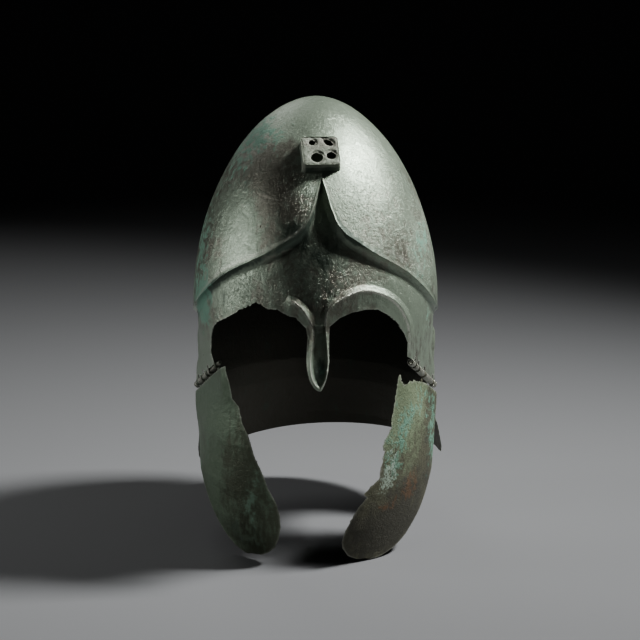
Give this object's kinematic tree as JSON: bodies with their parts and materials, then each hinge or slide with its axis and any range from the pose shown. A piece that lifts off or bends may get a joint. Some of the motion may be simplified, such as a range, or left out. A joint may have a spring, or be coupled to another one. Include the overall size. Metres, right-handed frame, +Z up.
{
  "type": "chalcidian helmet",
  "caption": "Ancient bronze helmet of chalcidian form: ridged dome, short nasal, eye arches, open ears, neck guard and hinged cheekpieces.",
  "frame": {"origin": "the inner crown, where a head carries the helmet", "axes": "+Z up, the face looks along -Y, +X to the right of a viewer who stands before it"},
  "size_m": [0.2032, 0.2514, 0.3519],
  "materials": {
    "dome_bronze": "old bronze with a satin grey-green patina, worn bright on its edges",
    "cheek_bronze": "old bronze with a dark olive and brown patina and pale green crust",
    "hinge_bronze": "corroded bronze",
    "holder_bronze": "old bronze with a pale grey-green patina"
  },
  "bodies": {
    "helmet": {"skull": "dome_bronze", "crest_holder": "holder_bronze", "hinge_pin_right": "hinge_bronze", "hinge_pin_left": "hinge_bronze"},
    "cheek_right": {"cheekpiece_right": "cheek_bronze"},
    "cheek_left": {"cheekpiece_left": "cheek_bronze"}
  },
  "joints": [
    {"name": "cheek_right_hinge", "type": "hinge", "parent": "helmet", "child": "cheek_right", "pos_m": [0.0736, -0.0725, -0.1955], "axis": [-0.3212, -0.814, 0.484], "range_deg": [-6, 100]},
    {"name": "cheek_left_hinge", "type": "hinge", "parent": "helmet", "child": "cheek_left", "pos_m": [-0.0736, -0.0725, -0.1955], "axis": [-0.3212, 0.814, -0.484], "range_deg": [-6, 100]}
  ]
}
